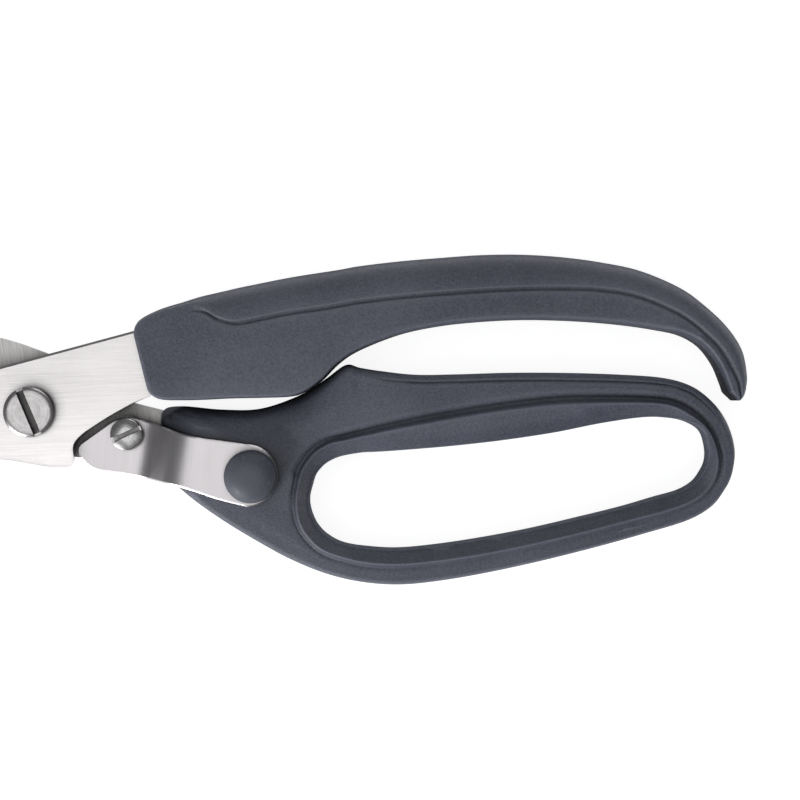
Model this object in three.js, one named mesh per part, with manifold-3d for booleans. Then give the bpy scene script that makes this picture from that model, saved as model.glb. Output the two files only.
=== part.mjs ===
// Poultry shears: two steel blades on one pivot, two moulded handles, a torsion spring hidden
// between the blades, and a thumb-operated lock lever.
//
// Millimetres, +Z up. The shears lie flat: the pivot axis is Z, and the origin is the centre of
// the pivot nut's back face. The handles point to +X, the blades to -X, and the blades are shut.

import * as THREE from "three";
import { mergeVertices } from "three/addons/utils/BufferGeometryUtils.js";
import Module from "manifold-3d";

const wasm = await Module();
wasm.setup();

// ---------------------------------------------------------------- driving dimensions

// Heights of the layers.
const HANDLE_TOP = 14;
const GRIP_INSET = 0.6;
const LOOP_INSET = 1;
const REAR_BLADE = [3.5, 6.9];
const FRONT_BLADE = [7.1, 10.5];
const SLOT_GAP = 0.3;

// Pivot.
const BORE_R = 3.3;
const SHANK_R = 3.2;
const HEAD_R = 5.45;
const HEAD_Z = [10.7, 12.7];
const HEAD_CHAMFER = 0.8;
const PIVOT_SLOT_WIDTH = 1.55;
const SLOT_DEPTH = 1.2;
const PIVOT_SLOT_ANGLE = -67;
const NUT_R = 5.6;
const NUT_TOP = 2.7;
const WASHER_Z = [2.9, 3.3];
const WASHER_R = 6.2;

// Opening spring and the groove it lies in.
const SPRING_R = 5.5;
const WIRE_R = 0.5;
const SPRING_TURNS = 2;
const SPRING_Z = [5.95, 8.05];
const SPRING_LEG = 1.7;
const GROOVE = [4.6, 6.4];
const GROOVE_DEPTH = 1.6;

// Lock.
const LOCK_X = 20.2;
const LOCK_Y = -4.7;
const LEVER_THICKNESS = 1.5;
const LEVER_LOW_Z = 7.6;
const LEVER_HIGH_Z = 13.3;
const LEVER_AXIS_ANGLE = -9;
const RAMP = [5.4, 12.6];
const BEND_R = 6;
const LOCK_BORE_R = 2.2;
const LOCK_SHANK_R = 2.1;
const LOCK_WASHER_R = 4;
const LOCK_WASHER_Z = [7.05, 7.45];
const LOCK_HEAD_R = 3.35;
const LOCK_HEAD_Z = [9.3, 11.1];
const LOCK_SLOT_ANGLE = 25;
const LOCK_SLOT_WIDTH = 1.05;
const BUTTON_X = 46.7;
const BUTTON_Y = -13.4;
const BUTTON_R = 5.5;
const BUTTON_HEIGHT = 4;
const STUD_R = 1.5;
const LEVER_END = { x: 45.8, y: -13.2, r: 6.5 };

// Relief behind the heel of the front blade, which the lever's tip runs under.
const HEEL_TOOTH_R = 12;
const HEEL_RELIEF_R = 11.5;
const HEEL_OUT_R = 17;
const HEEL_RELIEF_TOP = 9.4;

const COLOURS = {
  grip: 0x464a54,
  button: 0x4d555d,
  blade: 0xd6d3d1,
  rear: 0xb5b3b2,
  lever: 0xcfcbcd,
  screw: 0xa9a7a8,
  spring: 0x8b8d90,
};

// ---------------------------------------------------------------- helpers

const radians = THREE.MathUtils.degToRad;

function vectors(points) {
  return points.map(([x, y]) => new THREE.Vector2(x, y));
}

// A closed outline made of stretches: each is a smooth curve through its points, and the outline
// has a corner where one stretch hands over to the next.
function outline(...stretches) {
  const shape = new THREE.Shape();
  const start = stretches[0][0];
  shape.moveTo(start[0], start[1]);
  stretches.forEach((points, i) => {
    if (i > 0) shape.lineTo(points[0][0], points[0][1]);
    if (points.length > 2) shape.splineThru(vectors(points.slice(1)));
    else shape.lineTo(points[1][0], points[1][1]);
  });
  shape.closePath();
  return shape;
}

// A flat slab between two heights, its edges rounded by `round` inside the outline.
function slab(shape, [low, high], round = 0, curveSegments = 2) {
  const geometry = new THREE.ExtrudeGeometry(shape, {
    depth: high - low - 2 * round,
    bevelEnabled: round > 0,
    bevelThickness: round,
    bevelSize: round,
    bevelOffset: -round,
    bevelSegments: 3,
    curveSegments,
  });
  return solid(geometry.translate(0, 0, low + round));
}

function solid(geometry) {
  const bare = geometry.clone();
  bare.deleteAttribute("normal");
  bare.deleteAttribute("uv");
  const merged = mergeVertices(bare, 1e-4);
  return new wasm.Manifold(
    new wasm.Mesh({
      numProp: 3,
      vertProperties: merged.attributes.position.array,
      triVerts: new Uint32Array(merged.index.array),
    }),
  );
}

function cylinder(x, y, radius, [low, high], sides = 32) {
  const geometry = new THREE.CylinderGeometry(radius, radius, high - low, sides);
  return solid(geometry.rotateX(Math.PI / 2).translate(x, y, (low + high) / 2));
}

// A body turned round the vertical axis through (x, y), from a profile of [radius, height].
function turned(x, y, profile, sides = 40) {
  const geometry = new THREE.LatheGeometry(vectors(profile), sides);
  return solid(geometry.rotateX(Math.PI / 2).translate(x, y, 0));
}

function slotCut(x, y, angle, top, depth, width, length) {
  const geometry = new THREE.BoxGeometry(length, width, 2 * depth);
  return solid(geometry.rotateZ(radians(angle)).translate(x, y, top));
}

// A straight bar that tapers from half width a at `from` to half width b at `to`.
function taperedBar(from, to, a, b, grow = 0) {
  const start = new THREE.Vector2(...from);
  const end = new THREE.Vector2(...to);
  const along = end.clone().sub(start).normalize();
  const across = new THREE.Vector2(-along.y, along.x);
  const corner = (p, side) => p.clone().addScaledVector(across, side);
  end.addScaledVector(along, grow);
  return new THREE.Shape([
    corner(start, -a - grow),
    corner(end, -b - grow),
    corner(end, b + grow),
    corner(start, a + grow),
  ]);
}

// The ring between two radii round the pivot, from one angle to another.
function sector(inner, outer, fromAngle, toAngle) {
  const shape = new THREE.Shape();
  shape.absarc(0, 0, outer, radians(fromAngle), radians(toAngle), false);
  shape.absarc(0, 0, inner, radians(toAngle), radians(fromAngle), true);
  shape.closePath();
  return shape;
}

// Wedge swept along a blade's cutting edge, which grinds one face down to the edge. `side` is 1
// where the blade lies to the left of the path, and -1 where it lies to the right. The wedge runs
// on past the tip and outside the edge.
function edgeGrind(points, side, face, edge, width) {
  const tip = new THREE.Vector3(points.at(-1)[0] - 4, points.at(-1)[1] + 0.8, 0);
  const path = new THREE.CatmullRomCurve3([
    ...points.map(([x, y]) => new THREE.Vector3(x, y, 0)),
    tip,
  ]);
  const slope = (face - edge) / width;
  const out = Math.sign(slope);
  const wedge = new THREE.Shape([
    new THREE.Vector2(-edge + slope, -side),
    new THREE.Vector2(-face, side * width),
    new THREE.Vector2(-face - out, side * width),
    new THREE.Vector2(-face - out, -side),
  ]);
  return solid(new THREE.ExtrudeGeometry(wedge, { steps: 24, extrudePath: path }));
}

class Helix extends THREE.Curve {
  getPoint(t, target = new THREE.Vector3()) {
    const angle = 2 * Math.PI * SPRING_TURNS * t;
    const z = THREE.MathUtils.lerp(SPRING_Z[0], SPRING_Z[1], t);
    return target.set(SPRING_R * Math.cos(angle), SPRING_R * Math.sin(angle), z);
  }
}

// ---------------------------------------------------------------- blades

const FRONT_TANG = [[16, 9.4], [61, 17.8], 4.6, 3];
const REAR_TANG = [[22, -6.2], [50, -8.6], 4.8, 3.4];

// Cutting edges, from the pivot to the tip.
const FRONT_EDGE = [
  [-9, 8.7],
  [-22, 5.7],
  [-40, 4.2],
  [-60, 5],
  [-80, 7.4],
  [-94, 9.7],
  [-101.6, 11.2],
];
const REAR_EDGE = [
  [-9, -5.4],
  [-22, -4.7],
  [-40, -3.2],
  [-60, -0.6],
  [-80, 3.9],
  [-94, 8.4],
  [-101.6, 11.2],
];

// The notch that holds a bone, in the front blade's edge next to the pivot.
const BONE_NOTCH = { x: -17, y: 8.4, r: 4.6 };
const GRIND_WIDTH = 7;
const EDGE_THICKNESS = 0.5;

function springGroove([low, high]) {
  return cylinder(0, 0, GROOVE[1], [low, high], 40).subtract(
    cylinder(0, 0, GROOVE[0], [low - 1, high + 1], 40),
  );
}

function makeFrontBlade() {
  const body = slab(
    outline(
      [[21.45, 16.9], [-9, 8.7]],
      FRONT_EDGE,
      [
        [-102.2, 10.4],
        [-95, 5.9],
        [-80, -0.6],
        [-60, -5.2],
        [-40, -7.9],
        [-20, -9.4],
        [-6, -10],
        [0, -10.9],
        [4.5, -11.6],
        [7.6, -11.6],
        [8.9, -11.2],
        [9.35, -10.2],
      ],
      [
        [9.1, -8.7],
        [9.05, -7.4],
        [9.5, -6.2],
        [10.8, -4.8],
        [12.7, -3.4],
        [16.6, -0.9],
        [21.6, 1.9],
      ],
      [[24.95, 3.3], [24.95, 3.4]],
    ),
    FRONT_BLADE,
  );
  const tang = slab(taperedBar(...FRONT_TANG), FRONT_BLADE);
  const inner = FRONT_BLADE[0];
  const reliefZ = [inner - 1, HEEL_RELIEF_TOP];
  return body
    .add(tang)
    .subtract(cylinder(BONE_NOTCH.x, BONE_NOTCH.y, BONE_NOTCH.r, [0, 20]))
    .subtract(edgeGrind(FRONT_EDGE.slice(1), 1, FRONT_BLADE[1], inner + EDGE_THICKNESS, GRIND_WIDTH))
    .subtract(cylinder(0, 0, BORE_R, [0, 20]))
    .subtract(springGroove([inner - 1, inner + GROOVE_DEPTH]))
    .subtract(cylinder(SPRING_R, 0, 0.8, [inner, FRONT_BLADE[1] - 0.3], 12))
    .subtract(slab(sector(HEEL_RELIEF_R, HEEL_OUT_R, -95, -50), reliefZ, 0, 12))
    .subtract(slab(sector(HEEL_TOOTH_R, HEEL_OUT_R, -51, -38), reliefZ, 0, 6));
}

function makeRearBlade() {
  const body = slab(
    outline(
      [
        [-101.6, 11.9],
        [-94, 13.6],
        [-80, 15.9],
        [-60, 17.7],
        [-40, 18.3],
        [-22, 17.7],
        [-12, 16.6],
        [-6.3, 15.5],
        [0, 13.5],
        [6, 10.9],
        [13, 5.6],
        [18, 3.1],
        [21.8, 1.8],
        [27, 0.35],
      ],
      [[27, -12.2], [14, -10.3]],
      [[12.6, -9.8], [8, -9.4], [2, -7.9], [-4, -5.9], [-9, -5.4]],
      REAR_EDGE,
    ),
    REAR_BLADE,
  );
  const tang = slab(taperedBar(...REAR_TANG), REAR_BLADE);
  const inner = REAR_BLADE[1];
  return body
    .add(tang)
    .subtract(edgeGrind(REAR_EDGE, -1, REAR_BLADE[0], inner - EDGE_THICKNESS, GRIND_WIDTH))
    .subtract(cylinder(0, 0, BORE_R, [0, 20]))
    .subtract(springGroove([inner - GROOVE_DEPTH, inner + 1]))
    .subtract(cylinder(SPRING_R, 0, 0.8, [REAR_BLADE[0] + 0.3, inner], 12))
    .subtract(cylinder(LOCK_X, LOCK_Y, LOCK_BORE_R, [0, 20], 24));
}

// ---------------------------------------------------------------- handles

function makeUpperHandle() {
  const grip = outline(
    [
      [21.9, 17],
      [22.7, 18.9],
      [27.3, 21.6],
      [35.7, 24.3],
      [52.5, 28],
      [69.3, 30.7],
      [86.1, 32.4],
      [100, 33.1],
      [111.3, 32.6],
      [120, 31.4],
      [128.5, 29.5],
      [136.5, 26.1],
      [144.9, 19.4],
      [149.4, 13],
      [150.4, 7.8],
      [149.9, 4.6],
      [148.1, 2.4],
      [145.5, 4.2],
      [143.6, 8.8],
      [140.5, 13.1],
      [135.5, 16.2],
      [128, 17.8],
      [115, 19.1],
      [103, 19.3],
      [90, 18.6],
      [78, 16.4],
      [69.3, 12.9],
      [61.5, 6.8],
      [56.7, 4],
      [51, 3],
      [40, 2.7],
      [31.5, 2.4],
      [26.6, 2.9],
      [25.1, 4.2],
    ],
  );
  // The flat on each side, between the crease and the lower edge.
  const flat = outline(
    [
      [22.9, 16.4],
      [24.6, 19.5],
      [30.7, 21.2],
      [35.9, 20.9],
      [41.7, 18.9],
      [48.4, 19.4],
      [60.5, 21.9],
      [77.4, 24.2],
      [92, 25.4],
      [107.7, 26.1],
      [118, 25.8],
      [126, 24.6],
      [136.6, 19.8],
      [143, 14.6],
      [146.4, 9.8],
      [146.8, 7.7],
      [145.4, 7.3],
      [144.6, 9.4],
      [141.4, 13.6],
      [135.7, 16.9],
      [128.1, 18.5],
      [115, 19.8],
      [103, 20],
      [90, 19.3],
      [77.8, 17.1],
      [68.8, 13.5],
      [61, 7.3],
      [56.4, 4.7],
      [51, 3.7],
      [40, 3.4],
      [31.5, 3.1],
      [27, 3.6],
      [25.9, 4.8],
    ],
  );
  const slotZ = [FRONT_BLADE[0] - SLOT_GAP, FRONT_BLADE[1] + SLOT_GAP];
  return slab(grip, [GRIP_INSET, HANDLE_TOP - GRIP_INSET], 1.5)
    .add(slab(flat, [0, HANDLE_TOP], 0.4))
    .subtract(slab(taperedBar(...FRONT_TANG, SLOT_GAP), slotZ));
}

// The finger hole of the lower handle, as a smooth closed path.
function fingerHole() {
  const path = new THREE.Path();
  path.moveTo(58.8, -18.5);
  path.splineThru(
    vectors([
      [59.9, -22.8],
      [63.8, -26.4],
      [70, -27.9],
      [77.7, -28.4],
      [86, -27.6],
      [98.7, -25.5],
      [115.5, -21.8],
      [128, -18.4],
      [136.5, -15.8],
      [140.5, -12.2],
      [141.6, -8],
      [140.2, -3.9],
      [136.5, -1.6],
      [130, -1.1],
      [119.7, -2.2],
      [102.9, -5.1],
      [86.1, -7.1],
      [69.3, -8.3],
      [63.8, -9.6],
      [60.2, -13],
      [58.8, -18.5],
    ]),
  );
  return path;
}

function makeLowerHandle() {
  const loop = outline(
    [
      [27.4, -0.6],
      [28.4, 1.1],
      [31.5, 1.2],
      [38, 0.6],
      [44.1, 0.4],
      [50, 1],
      [56.7, 3.6],
      [62, 7],
      [66.4, 9.7],
      [73.5, 8.7],
      [86.1, 7.7],
      [100, 8.2],
      [111.3, 8.2],
      [122, 7.9],
      [132.3, 7.2],
      [138.5, 5.5],
      [144.3, 0.7],
      [147.2, -5.2],
      [147.4, -11.6],
      [144.1, -18.5],
      [137.8, -22.7],
      [124, -26.9],
      [107.5, -31.1],
      [91, -34.6],
      [77.7, -36.1],
      [67, -35],
      [57, -31.8],
      [44.1, -24.8],
      [34.7, -18.5],
      [29.5, -14.2],
      [27.6, -9.5],
    ],
    [[27.4, -8.6], [27.4, -1]],
  );
  loop.holes.push(fingerHole());
  // The bead round the finger hole.
  const bead = outline([
    [55.3, -18],
    [57.2, -10.4],
    [61.4, -6.2],
    [66.5, -4.8],
    [78.8, -1.9],
    [96.5, 1.3],
    [111.3, 2.9],
    [122, 3.1],
    [131.5, 2.7],
    [137.6, 1],
    [142.6, -3.9],
    [144.8, -9.6],
    [143.2, -15.9],
    [138, -20],
    [129, -22.8],
    [116, -26.1],
    [99.5, -29.8],
    [86.5, -31.9],
    [77.4, -32.7],
    [68.6, -32],
    [61, -29.5],
    [56.2, -24.6],
  ]);
  bead.holes.push(fingerHole());
  const slotZ = [REAR_BLADE[0] - SLOT_GAP, REAR_BLADE[1] + SLOT_GAP];
  // The nose slopes down to the left under the lever's ramp.
  const slope = new THREE.Shape(
    vectors([
      [26, 7.2],
      [34.1, HANDLE_TOP - LOOP_INSET],
      [34.1, 20],
      [26, 20],
    ]),
  );
  const slopeCut = new THREE.ExtrudeGeometry(slope, { depth: 60, bevelEnabled: false });
  return slab(loop, [LOOP_INSET, HANDLE_TOP - LOOP_INSET], 1.5)
    .add(slab(bead, [0, HANDLE_TOP], 0.7))
    .subtract(solid(slopeCut.rotateX(Math.PI / 2).translate(0, 30, 0)))
    .subtract(slab(taperedBar(...REAR_TANG, SLOT_GAP), slotZ));
}

// ---------------------------------------------------------------- pivot and spring

function slottedScrew(x, y, head, headZ, chamfer, shank, shankEnd, angle, width) {
  const top = headZ[1];
  const body = turned(x, y, [
    [0, shankEnd],
    [shank - 0.3, shankEnd],
    [shank, shankEnd + 0.3],
    [shank, headZ[0]],
    [head, headZ[0]],
    [head, top - chamfer],
    [head - chamfer, top],
    [0, top],
  ]);
  return body.subtract(slotCut(x, y, angle, top, SLOT_DEPTH, width, 3 * head));
}

function makePivotNut() {
  const body = turned(0, 0, [
    [0, 0],
    [NUT_R - 0.5, 0],
    [NUT_R, 0.5],
    [NUT_R, NUT_TOP],
    [0, NUT_TOP],
  ]);
  return body.subtract(cylinder(0, 0, BORE_R, [0.9, NUT_TOP + 1]));
}

function ring(x, y, inner, outer, z, sides = 32) {
  return cylinder(x, y, outer, z, sides).subtract(
    cylinder(x, y, inner, [z[0] - 1, z[1] + 1], sides),
  );
}

function makeSpring() {
  const wire = new THREE.Shape();
  wire.absarc(0, 0, WIRE_R, 0, 2 * Math.PI, false);
  const coil = new THREE.ExtrudeGeometry(wire, {
    steps: 24 * SPRING_TURNS,
    curveSegments: 8,
    extrudePath: new Helix(),
  });
  return solid(coil)
    .add(cylinder(SPRING_R, 0, WIRE_R, [SPRING_Z[0] - SPRING_LEG, SPRING_Z[0]], 8))
    .add(cylinder(SPRING_R, 0, WIRE_R, [SPRING_Z[1], SPRING_Z[1] + SPRING_LEG], 8));
}

// ---------------------------------------------------------------- lock

// Side view of the bent lever: low at the screw, a ramp, high under the button. The coordinates
// are the distance from the lock screw along the lever, and the height.
function leverProfile() {
  const rise = LEVER_HIGH_Z - LEVER_LOW_Z;
  const slope = Math.atan2(rise, RAMP[1] - RAMP[0]);
  const underside = [
    new THREE.Vector2(-14, LEVER_LOW_Z),
    new THREE.Vector2(RAMP[0], LEVER_LOW_Z),
    new THREE.Vector2(RAMP[1], LEVER_HIGH_Z),
    new THREE.Vector2(36, LEVER_HIGH_Z),
  ];
  const trim = BEND_R * Math.tan(slope / 2);
  const offset = LEVER_THICKNESS;
  const points = [];
  const bends = [
    { at: underside[1], turn: 1 },
    { at: underside[2], turn: -1 },
  ];
  const lower = [underside[0]];
  const upper = [underside[0].clone().setY(LEVER_LOW_Z + offset)];
  for (const { at, turn } of bends) {
    // Bend centre above the sheet at the foot of the ramp, below it at the top.
    const radius = BEND_R;
    const before = turn > 0 ? 0 : slope;
    const dir = new THREE.Vector2(Math.cos(before), Math.sin(before));
    const normal = new THREE.Vector2(-dir.y, dir.x).multiplyScalar(turn);
    const start = at.clone().addScaledVector(dir, -trim);
    const centre = start.clone().addScaledVector(normal, radius);
    const steps = 8;
    for (let i = 0; i <= steps; i += 1) {
      const angle = before + (turn * slope * i) / steps;
      const out = new THREE.Vector2(Math.sin(angle), -Math.cos(angle)).multiplyScalar(turn);
      lower.push(centre.clone().addScaledVector(out, radius));
      upper.push(centre.clone().addScaledVector(out, radius - turn * offset));
    }
  }
  lower.push(underside[3]);
  upper.push(underside[3].clone().setY(LEVER_HIGH_Z + offset));
  points.push(...lower, ...upper.reverse());
  return new THREE.Shape(points);
}

function makeLever() {
  const plan = new THREE.Shape();
  plan.moveTo(9.8, -8.2);
  plan.quadraticCurveTo(9.7, -7.4, 10.2, -6.8);
  plan.lineTo(16.3, -2.5);
  plan.splineThru(
    vectors([
      [17.9, -1.6],
      [19.8, -1.2],
      [22, -1.5],
      [26, -2.4],
      [31.5, -4.3],
      [35.7, -5.3],
      [39.9, -5.9],
      [LEVER_END.x, LEVER_END.y + LEVER_END.r],
    ]),
  );
  plan.absarc(LEVER_END.x, LEVER_END.y, LEVER_END.r, Math.PI / 2, -Math.PI / 2, true);
  plan.splineThru(
    vectors([
      [39.9, -18.2],
      [35.7, -16.8],
      [31.5, -15.5],
      [27.3, -14.6],
      [19.2, -13],
      [14.6, -12.4],
    ]),
  );
  plan.quadraticCurveTo(13, -12.1, 12, -11.3);
  plan.lineTo(10.3, -9.5);
  plan.quadraticCurveTo(9.9, -9, 9.8, -8.2);
  const blank = slab(plan, [LEVER_LOW_Z - 2, LEVER_HIGH_Z + 4], 0, 5);
  const side = new THREE.ExtrudeGeometry(leverProfile(), { depth: 60, bevelEnabled: false });
  side.rotateX(Math.PI / 2);
  side.translate(0, 30, 0);
  side.rotateZ(radians(LEVER_AXIS_ANGLE));
  side.translate(LOCK_X, LOCK_Y, 0);
  return blank
    .intersect(solid(side))
    .subtract(cylinder(LOCK_X, LOCK_Y, LOCK_BORE_R, [0, 20], 24))
    .subtract(cylinder(BUTTON_X, BUTTON_Y, STUD_R + SLOT_GAP, [0, 20], 20));
}

function makeButton() {
  const base = LEVER_HIGH_Z + LEVER_THICKNESS + 0.2;
  const profile = [
    [0, base],
    [BUTTON_R - 0.3, base],
    [BUTTON_R, base + 0.3],
  ];
  const wall = 1.1;
  const steps = 7;
  for (let i = 0; i <= steps; i += 1) {
    const angle = (i / steps) * (Math.PI / 2);
    const radius = i === steps ? 0 : BUTTON_R * Math.cos(angle) ** 0.75;
    profile.push([radius, base + wall + (BUTTON_HEIGHT - wall) * Math.sin(angle)]);
  }
  return turned(BUTTON_X, BUTTON_Y, profile, 36).subtract(
    cylinder(BUTTON_X, BUTTON_Y, STUD_R + SLOT_GAP, [base - 1, base + 2.4], 20),
  );
}

function makeStud() {
  return cylinder(BUTTON_X, BUTTON_Y, STUD_R, [LEVER_HIGH_Z + 0.1, LEVER_HIGH_Z + 3.6], 20);
}

// ---------------------------------------------------------------- assembly

const shears = new THREE.Group();
shears.name = "poultry_shears";

function place(parent, name, manifold, color, roughness, metalness) {
  const raw = manifold.getMesh();
  const shared = new THREE.BufferGeometry();
  shared.setAttribute("position", new THREE.BufferAttribute(raw.vertProperties, 3));
  shared.setIndex(new THREE.BufferAttribute(raw.triVerts, 1));
  const geometry = shared.toNonIndexed();
  geometry.computeVertexNormals();
  const material = new THREE.MeshStandardMaterial({ color, roughness, metalness });
  const mesh = new THREE.Mesh(geometry, material);
  mesh.name = name;
  parent.add(mesh);
}

const lowerHalf = new THREE.Group();
const upperHalf = new THREE.Group();
const lock = new THREE.Group();
shears.add(lowerHalf, upperHalf, lock);

place(lowerHalf, "lower_handle", makeLowerHandle(), COLOURS.grip, 0.6, 0);
place(lowerHalf, "rear_blade", makeRearBlade(), COLOURS.rear, 0.35, 1);
place(lowerHalf, "pivot_nut", makePivotNut(), COLOURS.screw, 0.35, 1);
place(lowerHalf, "pivot_washer", ring(0, 0, BORE_R, WASHER_R, WASHER_Z), COLOURS.screw, 0.3, 1);
place(
  lowerHalf,
  "pivot_screw",
  slottedScrew(
    0,
    0,
    HEAD_R,
    HEAD_Z,
    HEAD_CHAMFER,
    SHANK_R,
    1.2,
    PIVOT_SLOT_ANGLE,
    PIVOT_SLOT_WIDTH,
  ),
  COLOURS.screw,
  0.3,
  1,
);
place(lowerHalf, "opening_spring", makeSpring(), COLOURS.spring, 0.35, 1);
place(
  lowerHalf,
  "lock_screw",
  slottedScrew(
    LOCK_X,
    LOCK_Y,
    LOCK_HEAD_R,
    LOCK_HEAD_Z,
    0.5,
    LOCK_SHANK_R,
    REAR_BLADE[0] + 0.3,
    LOCK_SLOT_ANGLE,
    LOCK_SLOT_WIDTH,
  ),
  COLOURS.screw,
  0.3,
  1,
);

place(upperHalf, "upper_handle", makeUpperHandle(), COLOURS.grip, 0.6, 0);
place(upperHalf, "front_blade", makeFrontBlade(), COLOURS.blade, 0.3, 1);

place(
  lowerHalf,
  "lock_washer",
  ring(LOCK_X, LOCK_Y, LOCK_BORE_R, LOCK_WASHER_R, LOCK_WASHER_Z, 24),
  COLOURS.screw,
  0.3,
  1,
);

place(lock, "lock_lever", makeLever(), COLOURS.lever, 0.3, 1);
place(lock, "lock_button", makeButton(), COLOURS.button, 0.5, 0);
place(lock, "button_stud", makeStud(), COLOURS.screw, 0.35, 1);

export default shears;
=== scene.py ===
import math

import bmesh
import bpy
import numpy as np
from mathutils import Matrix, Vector
from mathutils.geometry import delaunay_2d_cdt


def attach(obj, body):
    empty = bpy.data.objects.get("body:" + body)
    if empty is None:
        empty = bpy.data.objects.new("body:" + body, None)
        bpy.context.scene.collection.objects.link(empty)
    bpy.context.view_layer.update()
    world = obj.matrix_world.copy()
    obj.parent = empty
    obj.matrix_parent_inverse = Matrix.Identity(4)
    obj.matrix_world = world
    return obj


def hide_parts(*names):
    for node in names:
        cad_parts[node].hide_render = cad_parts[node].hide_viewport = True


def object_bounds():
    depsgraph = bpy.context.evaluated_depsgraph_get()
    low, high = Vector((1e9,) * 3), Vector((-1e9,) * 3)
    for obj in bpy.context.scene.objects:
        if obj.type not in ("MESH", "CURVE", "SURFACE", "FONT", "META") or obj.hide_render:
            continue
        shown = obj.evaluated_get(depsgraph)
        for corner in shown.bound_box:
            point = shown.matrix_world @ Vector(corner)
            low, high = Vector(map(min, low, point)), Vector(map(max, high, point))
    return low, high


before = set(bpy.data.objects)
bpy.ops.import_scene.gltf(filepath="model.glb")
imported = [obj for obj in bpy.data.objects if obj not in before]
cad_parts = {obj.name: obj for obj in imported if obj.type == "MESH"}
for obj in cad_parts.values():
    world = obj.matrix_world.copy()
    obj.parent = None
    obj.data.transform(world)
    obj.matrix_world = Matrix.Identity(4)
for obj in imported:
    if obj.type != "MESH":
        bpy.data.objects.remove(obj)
cad_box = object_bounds()

# All sizes below are in millimetres, in the row's frame. Meshes are made in metres.
MM = 0.001

# Heights of the layers.
MID_Z = 7.0
HALF_THICKNESS = 7.0
REAR_BLADE = (3.5, 6.9)
FRONT_BLADE = (7.1, 10.5)
LEVER_LOW_Z = 7.6
LEVER_HIGH_Z = 13.3
LEVER_THICKNESS = 1.5

BORE_R = 3.3
LOCK = (20.2, -4.7)
LOCK_BORE_R = 2.2
BUTTON = (46.7, -13.4)
STUD_BORE_R = 1.8
LEVER_AXIS = math.radians(-9)


# ---------------------------------------------------------------- curves

def catmull(points, per, closed=False):
    """A smooth curve through points of any dimension, `per` steps to each span."""
    p = np.array(points, dtype=float)
    n = len(p)
    spans = n if closed else n - 1
    out = []
    for i in range(spans):
        if closed:
            a, b, c, d = (p[(i + k) % n] for k in (-1, 0, 1, 2))
        else:
            a, b, c, d = (p[min(max(i + k, 0), n - 1)] for k in (-1, 0, 1, 2))
        for step in range(per):
            t = step / per
            out.append(
                0.5 * (2 * b + (c - a) * t + (2 * a - 5 * b + 4 * c - d) * t**2
                       + (3 * b - a - 3 * c + d) * t**3)
            )
    if not closed:
        out.append(p[-1])
    return np.array(out)


def circle(centre, radius, count):
    """Evenly spaced points of a circle."""
    angle = np.linspace(0, 2 * np.pi, count, endpoint=False)
    return np.column_stack([centre[0] + radius * np.cos(angle), centre[1] + radius * np.sin(angle)])


def distance_to(points, line, closed=False):
    """Shortest distance from each point to a polyline."""
    a = np.array(line, dtype=float)
    b = np.roll(a, -1, axis=0) if closed else a[1:]
    a = a if closed else a[:-1]
    best = np.full(len(points), np.inf)
    for p, q in zip(a, b):
        d = q - p
        t = np.clip(((points - p) @ d) / max(d @ d, 1e-12), 0, 1)
        best = np.minimum(best, np.linalg.norm(points - (p + t[:, None] * d), axis=1))
    return best


def inside(points, ring):
    """Which points lie inside a closed ring."""
    x, y = points[:, 0], points[:, 1]
    result = np.zeros(len(points), dtype=bool)
    for (x0, y0), (x1, y1) in zip(ring, np.roll(ring, -1, axis=0)):
        crosses = (y0 > y) != (y1 > y)
        if y1 != y0:
            result ^= crosses & (x < (x1 - x0) * (y - y0) / (y1 - y0) + x0)
    return result


def resample(ring, longest):
    """The closed ring with points added so that no side is over `longest`."""
    out = []
    for p, q in zip(ring, np.roll(ring, -1, axis=0)):
        steps = max(1, math.ceil(np.linalg.norm(q - p) / longest))
        out.extend(p + (q - p) * i / steps for i in range(steps))
    return np.array(out)


MITRE_LIMIT = 0.9
LEAST_OFFSET = 0.93


def offset_ring(ring, distance):
    """The ring moved inwards by a small distance, with mitred corners."""
    ahead = np.roll(ring, -1, axis=0) - ring
    ahead /= np.linalg.norm(ahead, axis=1)[:, None]
    behind = np.roll(ahead, 1, axis=0)
    area = np.sum(ring[:, 0] * np.roll(ring[:, 1], -1) - ring[:, 1] * np.roll(ring[:, 0], -1))
    turn = math.copysign(1, area)
    normal = np.column_stack([-ahead[:, 1] - behind[:, 1], ahead[:, 0] + behind[:, 0]]) * turn
    length = np.maximum(np.linalg.norm(normal, axis=1), MITRE_LIMIT)
    moved = ring + normal * (2 * distance / length**2)[:, None]
    clear = distance_to(moved, ring, closed=True) > LEAST_OFFSET * distance
    return moved[clear & inside(moved, ring)]


# ---------------------------------------------------------------- meshes

MERGE_DISTANCE = 1e-7
SAME_POINT = 1e-5
LEAST_AREA = 1e-7
LATHE_SEGMENTS = 128
CUTTER_HEIGHT = 6


def add_object(name, data):
    """A new object in the scene."""
    obj = bpy.data.objects.new(name, data)
    bpy.context.collection.objects.link(obj)
    return obj


def finish_mesh(name, mesh, material, body, replaces, sharp):
    """Puts a mesh in the scene in place of its CAD nodes. Edges over `sharp` degrees stay hard."""
    obj = add_object(name, mesh)
    mesh.materials.clear()
    mesh.materials.append(material)
    mesh.shade_smooth()
    mesh.set_sharp_from_angle(angle=math.radians(sharp))
    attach(obj, body)
    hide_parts(*replaces)


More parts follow.
